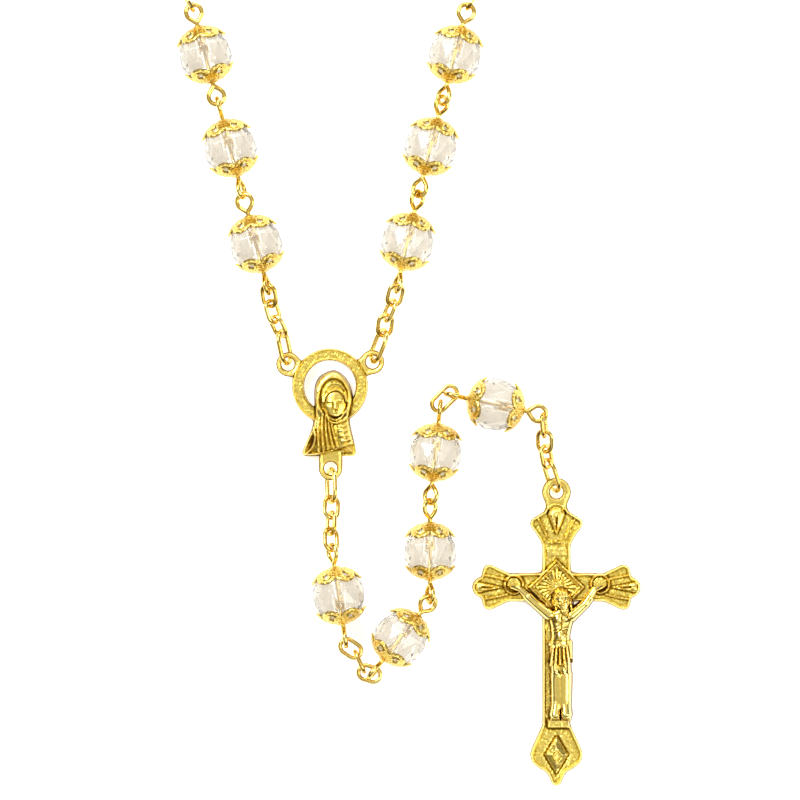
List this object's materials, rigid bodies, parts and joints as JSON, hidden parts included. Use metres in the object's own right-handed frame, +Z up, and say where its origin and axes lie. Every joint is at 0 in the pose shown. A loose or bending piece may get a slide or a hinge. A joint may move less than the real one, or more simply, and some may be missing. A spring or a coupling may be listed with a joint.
{
  "type": "rosary",
  "caption": "Five-decade rosary of 59 clear faceted crystal beads with gold filigree caps on gold wire, with a veiled-figure centrepiece and an ornate crucifix, laid flat.",
  "frame": {"origin": "centre of the centrepiece's halo ring, on its flat back face", "axes": "+Z up out of the front of the centrepiece, +Y from the centrepiece along the loop to its far end, +X to the right-hand half of the loop seen from the front"},
  "size_m": [0.1789, 0.4269, 0.0083],
  "materials": {
    "crystal": "polished",
    "bright_gold": "polished",
    "antique_gold": "satin",
    "corpus_gold": "satin",
    "strung_beads": "polished"
  },
  "bodies": {
    "centrepiece": {"centrepiece": "antique_gold"},
    "jump_ring_left": {"jump_ring_left": "bright_gold"},
    "link_left_3": {"link_left_3": "bright_gold"},
    "link_left_2": {"link_left_2": "bright_gold"},
    "link_left_1": {"link_left_1": "bright_gold"},
    "pin_left_1": {"pin_left_1": "bright_gold"},
    "bead_left_1": {"bead_left_1": "crystal"},
    "pin_left_2": {"pin_left_2": "bright_gold"},
    "bead_left_2": {"bead_left_2": "crystal"},
    "pin_left_3": {"pin_left_3": "bright_gold"},
    "bead_left_3": {"bead_left_3": "crystal"},
    "loop_left_1": {"loop_left_1": "strung_beads"},
    "loop_left_2": {"loop_left_2": "strung_beads"},
    "loop_left_3": {"loop_left_3": "strung_beads"},
    "loop_left_4": {"loop_left_4": "strung_beads"},
    "loop_left_5": {"loop_left_5": "strung_beads"},
    "loop_left_6": {"loop_left_6": "strung_beads"},
    "loop_left_7": {"loop_left_7": "strung_beads"},
    "jump_ring_right": {"jump_ring_right": "bright_gold"},
    "link_right_3": {"link_right_3": "bright_gold"},
    "link_right_2": {"link_right_2": "bright_gold"},
    "link_right_1": {"link_right_1": "bright_gold"},
    "pin_right_1": {"pin_right_1": "bright_gold"},
    "bead_right_1": {"bead_right_1": "crystal"},
    "pin_right_2": {"pin_right_2": "bright_gold"},
    "bead_right_2": {"bead_right_2": "crystal"},
    "pin_right_3": {"pin_right_3": "bright_gold"},
    "bead_right_3": {"bead_right_3": "crystal"},
    "loop_right_1": {"loop_right_1": "strung_beads"},
    "loop_right_2": {"loop_right_2": "strung_beads"},
    "loop_right_3": {"loop_right_3": "strung_beads"},
    "loop_right_4": {"loop_right_4": "strung_beads"},
    "loop_right_5": {"loop_right_5": "strung_beads"},
    "loop_right_6": {"loop_right_6": "strung_beads"},
    "loop_right_7": {"loop_right_7": "strung_beads"},
    "jump_ring_pendant": {"jump_ring_pendant": "bright_gold"},
    "link_pendant_1": {"link_pendant_1": "bright_gold"},
    "link_pendant_2": {"link_pendant_2": "bright_gold"},
    "link_pendant_3": {"link_pendant_3": "bright_gold"},
    "pin_pendant_1": {"pin_pendant_1": "bright_gold"},
    "bead_pendant_1": {"bead_pendant_1": "crystal"},
    "link_pendant_4": {"link_pendant_4": "bright_gold"},
    "link_pendant_5": {"link_pendant_5": "bright_gold"},
    "link_pendant_6": {"link_pendant_6": "bright_gold"},
    "pin_pendant_2": {"pin_pendant_2": "bright_gold"},
    "bead_pendant_2": {"bead_pendant_2": "crystal"},
    "pin_pendant_3": {"pin_pendant_3": "bright_gold"},
    "bead_pendant_3": {"bead_pendant_3": "crystal"},
    "pin_pendant_4": {"pin_pendant_4": "bright_gold"},
    "bead_pendant_4": {"bead_pendant_4": "crystal"},
    "link_middle": {"link_middle": "bright_gold"},
    "pin_pendant_5": {"pin_pendant_5": "bright_gold"},
    "bead_pendant_5": {"bead_pendant_5": "crystal"},
    "link_crucifix_1": {"link_crucifix_1": "bright_gold"},
    "link_crucifix_2": {"link_crucifix_2": "bright_gold"},
    "link_crucifix_3": {"link_crucifix_3": "bright_gold"},
    "jump_ring_crucifix": {"jump_ring_crucifix": "bright_gold"},
    "crucifix": {"crucifix": "antique_gold", "corpus": "corpus_gold"}
  },
  "joints": [
    {"name": "jump_ring_left_hinge", "type": "hinge", "parent": "centrepiece", "child": "jump_ring_left", "pos_m": [-0.00609, 0.00335, 0.0014], "axis": [0, 0, 1], "range_deg": [0, 38]},
    {"name": "link_left_3_hinge", "type": "hinge", "parent": "jump_ring_left", "child": "link_left_3", "pos_m": [-0.00701, 0.00767, 0.0021], "axis": [0, 0, -1], "range_deg": [-14, 0]},
    {"name": "link_left_2_hinge", "type": "hinge", "parent": "link_left_3", "child": "link_left_2", "pos_m": [-0.00793, 0.00974, 0.00275], "axis": [0, 0, 1], "range_deg": [0, 20]},
    {"name": "link_left_1_hinge", "type": "hinge", "parent": "link_left_2", "child": "link_left_1", "pos_m": [-0.00863, 0.01204, 0.00335], "axis": [0, 0, -1], "range_deg": [-14, 0]},
    {"name": "left_1_hinge", "type": "hinge", "parent": "link_left_1", "child": "pin_left_1", "pos_m": [-0.00885, 0.01384, 0.00395], "axis": [0, 0, 1], "range_deg": [0, 20]},
    {"name": "left_2_hinge", "type": "hinge", "parent": "pin_left_1", "child": "pin_left_2", "pos_m": [-0.01245, 0.02725, 0.00395], "axis": [0, 0, -1], "range_deg": [-40, 0]},
    {"name": "left_3_hinge", "type": "hinge", "parent": "pin_left_2", "child": "pin_left_3", "pos_m": [-0.01627, 0.04152, 0.00395], "axis": [0, 0, 1], "range_deg": [0, 30]},
    {"name": "loop_left_1_hinge", "type": "hinge", "parent": "pin_left_3", "child": "loop_left_1", "pos_m": [-0.01968, 0.05423, 0.00395], "axis": [0, 0, -1], "range_deg": [-20, 0]},
    {"name": "loop_left_2_hinge", "type": "hinge", "parent": "loop_left_1", "child": "loop_left_2", "pos_m": [-0.04639, 0.10343, 0.00395], "axis": [0, 0, 1], "range_deg": [0, 20]},
    {"name": "loop_left_3_hinge", "type": "hinge", "parent": "loop_left_2", "child": "loop_left_3", "pos_m": [-0.0633, 0.14187, 0.00395], "axis": [0, 0, -1], "range_deg": [-20, 0]},
    {"name": "loop_left_4_hinge", "type": "hinge", "parent": "loop_left_3", "child": "loop_left_4", "pos_m": [-0.08216, 0.20964, 0.00395], "axis": [0, 0, 1], "range_deg": [0, 20]},
    {"name": "loop_left_5_hinge", "type": "hinge", "parent": "loop_left_4", "child": "loop_left_5", "pos_m": [-0.08386, 0.26533, 0.00395], "axis": [0, 0, -1], "range_deg": [-20, 0]},
    {"name": "loop_left_6_hinge", "type": "hinge", "parent": "loop_left_5", "child": "loop_left_6", "pos_m": [-0.07302, 0.30579, 0.00395], "axis": [0, 0, 1], "range_deg": [0, 20]},
    {"name": "loop_left_7_hinge", "type": "hinge", "parent": "loop_left_6", "child": "loop_left_7", "pos_m": [-0.03934, 0.35059, 0.00395], "axis": [0, 0, -1], "range_deg": [-20, 0]},
    {"name": "jump_ring_right_hinge", "type": "hinge", "parent": "centrepiece", "child": "jump_ring_right", "pos_m": [0.00621, 0.00364, 0.0014], "axis": [0, 0, -1], "range_deg": [0, 38]},
    {"name": "link_right_3_hinge", "type": "hinge", "parent": "jump_ring_right", "child": "link_right_3", "pos_m": [0.00788, 0.00797, 0.0021], "axis": [0, 0, 1], "range_deg": [-14, 0]},
    {"name": "link_right_2_hinge", "type": "hinge", "parent": "link_right_3", "child": "link_right_2", "pos_m": [0.00808, 0.00962, 0.00275], "axis": [0, 0, -1], "range_deg": [0, 20]},
    {"name": "link_right_1_hinge", "type": "hinge", "parent": "link_right_2", "child": "link_right_1", "pos_m": [0.00923, 0.01234, 0.00335], "axis": [0, 0, 1], "range_deg": [-14, 0]},
    {"name": "right_1_hinge", "type": "hinge", "parent": "link_right_1", "child": "pin_right_1", "pos_m": [0.00961, 0.01384, 0.00395], "axis": [0, 0, -1], "range_deg": [0, 20]},
    {"name": "right_2_hinge", "type": "hinge", "parent": "pin_right_1", "child": "pin_right_2", "pos_m": [0.01285, 0.02787, 0.00395], "axis": [0, 0, 1], "range_deg": [-20, 0]},
    {"name": "right_3_hinge", "type": "hinge", "parent": "pin_right_2", "child": "pin_right_3", "pos_m": [0.01633, 0.04134, 0.00395], "axis": [0, 0, -1], "range_deg": [0, 30]},
    {"name": "loop_right_1_hinge", "type": "hinge", "parent": "pin_right_3", "child": "loop_right_1", "pos_m": [0.01985, 0.05446, 0.00395], "axis": [0, 0, 1], "range_deg": [-20, 0]},
    {"name": "loop_right_2_hinge", "type": "hinge", "parent": "loop_right_1", "child": "loop_right_2", "pos_m": [0.04656, 0.10365, 0.00395], "axis": [0, 0, -1], "range_deg": [0, 20]},
    {"name": "loop_right_3_hinge", "type": "hinge", "parent": "loop_right_2", "child": "loop_right_3", "pos_m": [0.06347, 0.14209, 0.00395], "axis": [0, 0, 1], "range_deg": [-20, 0]},
    {"name": "loop_right_4_hinge", "type": "hinge", "parent": "loop_right_3", "child": "loop_right_4", "pos_m": [0.08233, 0.20986, 0.00395], "axis": [0, 0, -1], "range_deg": [0, 20]},
    {"name": "loop_right_5_hinge", "type": "hinge", "parent": "loop_right_4", "child": "loop_right_5", "pos_m": [0.08403, 0.26555, 0.00395], "axis": [0, 0, 1], "range_deg": [-20, 0]},
    {"name": "loop_right_6_hinge", "type": "hinge", "parent": "loop_right_5", "child": "loop_right_6", "pos_m": [0.07319, 0.30601, 0.00395], "axis": [0, 0, -1], "range_deg": [0, 20]},
    {"name": "loop_right_7_hinge", "type": "hinge", "parent": "loop_right_6", "child": "loop_right_7", "pos_m": [0.0395, 0.35081, 0.00395], "axis": [0, 0, 1], "range_deg": [-20, 0]},
    {"name": "jump_ring_pendant_hinge", "type": "hinge", "parent": "centrepiece", "child": "jump_ring_pendant", "pos_m": [0.00011, -0.01205, 0.0014], "axis": [0, 0, 1], "range_deg": [-30, 15]},
    {"name": "link_pendant_1_hinge", "type": "hinge", "parent": "jump_ring_pendant", "child": "link_pendant_1", "pos_m": [0.00027, -0.01668, 0.0021], "axis": [0, 0, -1], "range_deg": [-15, 20]},
    {"name": "link_pendant_2_hinge", "type": "hinge", "parent": "link_pendant_1", "child": "link_pendant_2", "pos_m": [0.00021, -0.01836, 0.00275], "axis": [0, 0, 1], "range_deg": [-9, 15]},
    {"name": "link_pendant_3_hinge", "type": "hinge", "parent": "link_pendant_2", "child": "link_pendant_3", "pos_m": [0.00016, -0.02115, 0.00335], "axis": [0, 0, -1], "range_deg": [-15, 20]},
    {"name": "pendant_1_hinge", "type": "hinge", "parent": "link_pendant_3", "child": "pin_pendant_1", "pos_m": [0.00022, -0.02305, 0.00395], "axis": [0, 0, 1], "range_deg": [-18, 15]},
    {"name": "link_pendant_4_hinge", "type": "hinge", "parent": "pin_pendant_1", "child": "link_pendant_4", "pos_m": [0.00238, -0.03744, 0.00395], "axis": [0, 0, -1], "range_deg": [-10, 25]},
    {"name": "link_pendant_5_hinge", "type": "hinge", "parent": "link_pendant_4", "child": "link_pendant_5", "pos_m": [0.00367, -0.03831, 0.00395], "axis": [0, 0, 1], "range_deg": [-25, 10]},
    {"name": "link_pendant_6_hinge", "type": "hinge", "parent": "link_pendant_5", "child": "link_pendant_6", "pos_m": [0.00499, -0.04127, 0.00395], "axis": [0, 0, -1], "range_deg": [-10, 25]},
    {"name": "pendant_2_hinge", "type": "hinge", "parent": "link_pendant_6", "child": "pin_pendant_2", "pos_m": [0.00604, -0.04161, 0.00395], "axis": [0, 0, 1], "range_deg": [-20, 8]},
    {"name": "pendant_3_hinge", "type": "hinge", "parent": "pin_pendant_2", "child": "pin_pendant_3", "pos_m": [0.01449, -0.03095, 0.00395], "axis": [0, 0, -1], "range_deg": [-5, 20]},
    {"name": "pendant_4_hinge", "type": "hinge", "parent": "pin_pendant_3", "child": "pin_pendant_4", "pos_m": [0.01449, -0.01671, 0.00395], "axis": [0, 0, 1], "range_deg": [-12, 12]},
    {"name": "link_middle_hinge", "type": "hinge", "parent": "pin_pendant_4", "child": "link_middle", "pos_m": [0.016, -0.00239, 0.00395], "axis": [0, 0, -1], "range_deg": [-25, 8]},
    {"name": "pendant_5_hinge", "type": "hinge", "parent": "link_middle", "child": "pin_pendant_5", "pos_m": [0.01717, -0.00122, 0.00395], "axis": [0, 0, 1], "range_deg": [-8, 25]},
    {"name": "link_crucifix_1_hinge", "type": "hinge", "parent": "pin_pendant_5", "child": "link_crucifix_1", "pos_m": [0.03079, -0.00411, 0.00395], "axis": [0, 0, 1], "range_deg": [-5, 20]},
    {"name": "link_crucifix_2_hinge", "type": "hinge", "parent": "link_crucifix_1", "child": "link_crucifix_2", "pos_m": [0.03106, -0.00717, 0.0034], "axis": [0, 0, -1], "range_deg": [-8, 5]},
    {"name": "link_crucifix_3_hinge", "type": "hinge", "parent": "link_crucifix_2", "child": "link_crucifix_3", "pos_m": [0.03106, -0.0088, 0.00275], "axis": [0, 0, 1], "range_deg": [-5, 20]},
    {"name": "jump_ring_crucifix_hinge", "type": "hinge", "parent": "link_crucifix_3", "child": "jump_ring_crucifix", "pos_m": [0.0315, -0.01106, 0.0021], "axis": [0, 0, -1], "range_deg": [-5, 6]},
    {"name": "crucifix_swing", "type": "hinge", "parent": "jump_ring_crucifix", "child": "crucifix", "pos_m": [0.03276, -0.01516, 0.0014], "axis": [0, 0, 1], "range_deg": [-6, 45]},
    {"name": "bead_left_1_spin", "type": "hinge", "parent": "pin_left_1", "child": "bead_left_1", "pos_m": [-0.01065, 0.02054, 0.00395], "axis": [-0.2588, 0.9659, 0], "continuous": true},
    {"name": "bead_left_2_spin", "type": "hinge", "parent": "pin_left_2", "child": "bead_left_2", "pos_m": [-0.01436, 0.03438, 0.00395], "axis": [-0.2588, 0.9659, 0], "continuous": true},
    {"name": "bead_left_3_spin", "type": "hinge", "parent": "pin_left_3", "child": "bead_left_3", "pos_m": [-0.01797, 0.04788, 0.00395], "axis": [-0.2588, 0.9659, 0], "continuous": true},
    {"name": "bead_right_1_spin", "type": "hinge", "parent": "pin_right_1", "child": "bead_right_1", "pos_m": [0.01123, 0.02086, 0.00395], "axis": [0.225, 0.9744, 0], "continuous": true},
    {"name": "bead_right_2_spin", "type": "hinge", "parent": "pin_right_2", "child": "bead_right_2", "pos_m": [0.01459, 0.0346, 0.00395], "axis": [0.2504, 0.9681, 0], "continuous": true},
    {"name": "bead_right_3_spin", "type": "hinge", "parent": "pin_right_3", "child": "bead_right_3", "pos_m": [0.01809, 0.0479, 0.00395], "axis": [0.2588, 0.9659, 0], "continuous": true},
    {"name": "bead_pendant_1_spin", "type": "hinge", "parent": "pin_pendant_1", "child": "bead_pendant_1", "pos_m": [0.0013, -0.03024, 0.00395], "axis": [0.1478, -0.989, 0], "continuous": true},
    {"name": "bead_pendant_2_spin", "type": "hinge", "parent": "pin_pendant_2", "child": "bead_pendant_2", "pos_m": [0.01027, -0.03628, 0.00395], "axis": [0.6211, 0.7837, 0], "continuous": true},
    {"name": "bead_pendant_3_spin", "type": "hinge", "parent": "pin_pendant_3", "child": "bead_pendant_3", "pos_m": [0.01449, -0.02383, 0.00395], "axis": [0, 1, 0], "continuous": true},
    {"name": "bead_pendant_4_spin", "type": "hinge", "parent": "pin_pendant_4", "child": "bead_pendant_4", "pos_m": [0.01524, -0.00955, 0.00395], "axis": [0.1045, 0.9945, 0], "continuous": true},
    {"name": "bead_pendant_5_spin", "type": "hinge", "parent": "pin_pendant_5", "child": "bead_pendant_5", "pos_m": [0.02398, -0.00266, 0.00395], "axis": [0.9781, -0.2079, 0], "continuous": true}
  ]
}
